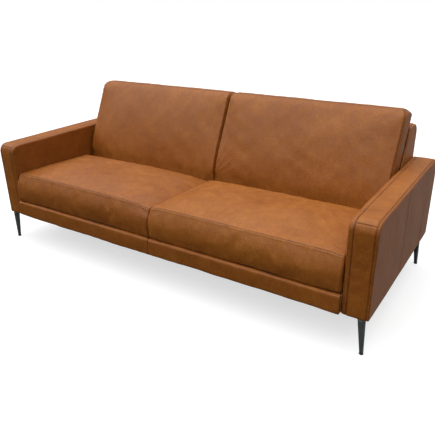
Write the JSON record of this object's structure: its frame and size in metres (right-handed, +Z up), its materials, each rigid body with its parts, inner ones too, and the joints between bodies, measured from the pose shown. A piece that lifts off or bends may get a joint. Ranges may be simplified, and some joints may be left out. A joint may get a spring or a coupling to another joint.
{
  "type": "sofa",
  "caption": "Long low leather sofa with slim padded arms, loose box seat cushions, leaning back cushions and slim tapered metal legs.",
  "frame": {"origin": "on the floor, under the middle of the whole sofa", "axes": "+X along the seat, to the right as seen from the front; the sofa faces -Y; +Z up"},
  "size_m": [2.26, 1.02, 0.8734],
  "materials": {
    "leather": "semi-aniline cognac leather with soft mottling and a low sheen",
    "timber": "sawn softwood",
    "leg_steel": "satin anthracite powder coat",
    "spring_steel": "bright wire",
    "lining_cloth": "matte",
    "webbing": "matte",
    "foam": "matte",
    "nylon": "satin",
    "zip_cloth": "matte"
  },
  "bodies": {
    "frame": {"apron_left": "leather", "apron_right": "leather", "arm_frame_left": "timber", "arm_frame_right": "timber", "arm_front_pad_left": "leather", "arm_front_pad_right": "leather", "arm_inner_cover_left": "leather", "arm_inner_cover_right": "leather", "arm_outer_cover_left": "leather", "arm_outer_cover_right": "leather", "arm_rear_pad_left": "leather", "arm_rear_pad_right": "leather", "arm_top_pad_left": "leather", "arm_top_pad_right": "leather", "arm_top_rail_left": "timber", "arm_top_rail_right": "timber", "back_lining": "lining_cloth", "back_lower_rail": "timber", "back_post_centre": "timber", "back_post_left": "timber", "back_post_right": "timber", "back_rear_cover": "leather", "back_top_cover": "leather", "back_top_rail": "timber", "back_webbing": "webbing", "base_centre_rail": "timber", "base_front_rail": "timber", "base_rear_rail": "timber", "base_side_rail_left": "timber", "base_side_rail_right": "timber", "dust_cover": "lining_cloth", "glide_front_left": "nylon", "glide_front_right": "nylon", "glide_rear_left": "nylon", "glide_rear_right": "nylon", "leg_front_left": "leg_steel", "leg_front_right": "leg_steel", "leg_plate_front_left": "leg_steel", "leg_plate_front_right": "leg_steel", "leg_plate_rear_left": "leg_steel", "leg_plate_rear_right": "leg_steel", "leg_rear_left": "leg_steel", "leg_rear_right": "leg_steel", "seat_deck": "lining_cloth", "seat_springs_left": "spring_steel", "seat_springs_right": "spring_steel"},
    "seat_cushion_left": {"seat_cushion_left_cover": "leather", "seat_cushion_left_core": "foam", "seat_cushion_left_zip": "zip_cloth"},
    "seat_cushion_right": {"seat_cushion_right_cover": "leather", "seat_cushion_right_core": "foam", "seat_cushion_right_zip": "zip_cloth"},
    "back_cushion_left": {"back_cushion_left_cover": "leather", "back_cushion_left_core": "foam", "back_cushion_left_zip": "zip_cloth"},
    "back_cushion_right": {"back_cushion_right_cover": "leather", "back_cushion_right_core": "foam", "back_cushion_right_zip": "zip_cloth"}
  },
  "joints": [
    {"name": "seat_cushion_left_lift", "type": "slide", "parent": "frame", "child": "seat_cushion_left", "axis": [0, 0, 1], "range_m": [0, 0.35]},
    {"name": "seat_cushion_right_lift", "type": "slide", "parent": "frame", "child": "seat_cushion_right", "axis": [0, 0, 1], "range_m": [0, 0.35]},
    {"name": "back_cushion_left_lift", "type": "slide", "parent": "frame", "child": "back_cushion_left", "axis": [0, 0.4305, 0.9026], "range_m": [0, 0.58]},
    {"name": "back_cushion_right_lift", "type": "slide", "parent": "frame", "child": "back_cushion_right", "axis": [0, 0.4305, 0.9026], "range_m": [0, 0.58]}
  ]
}
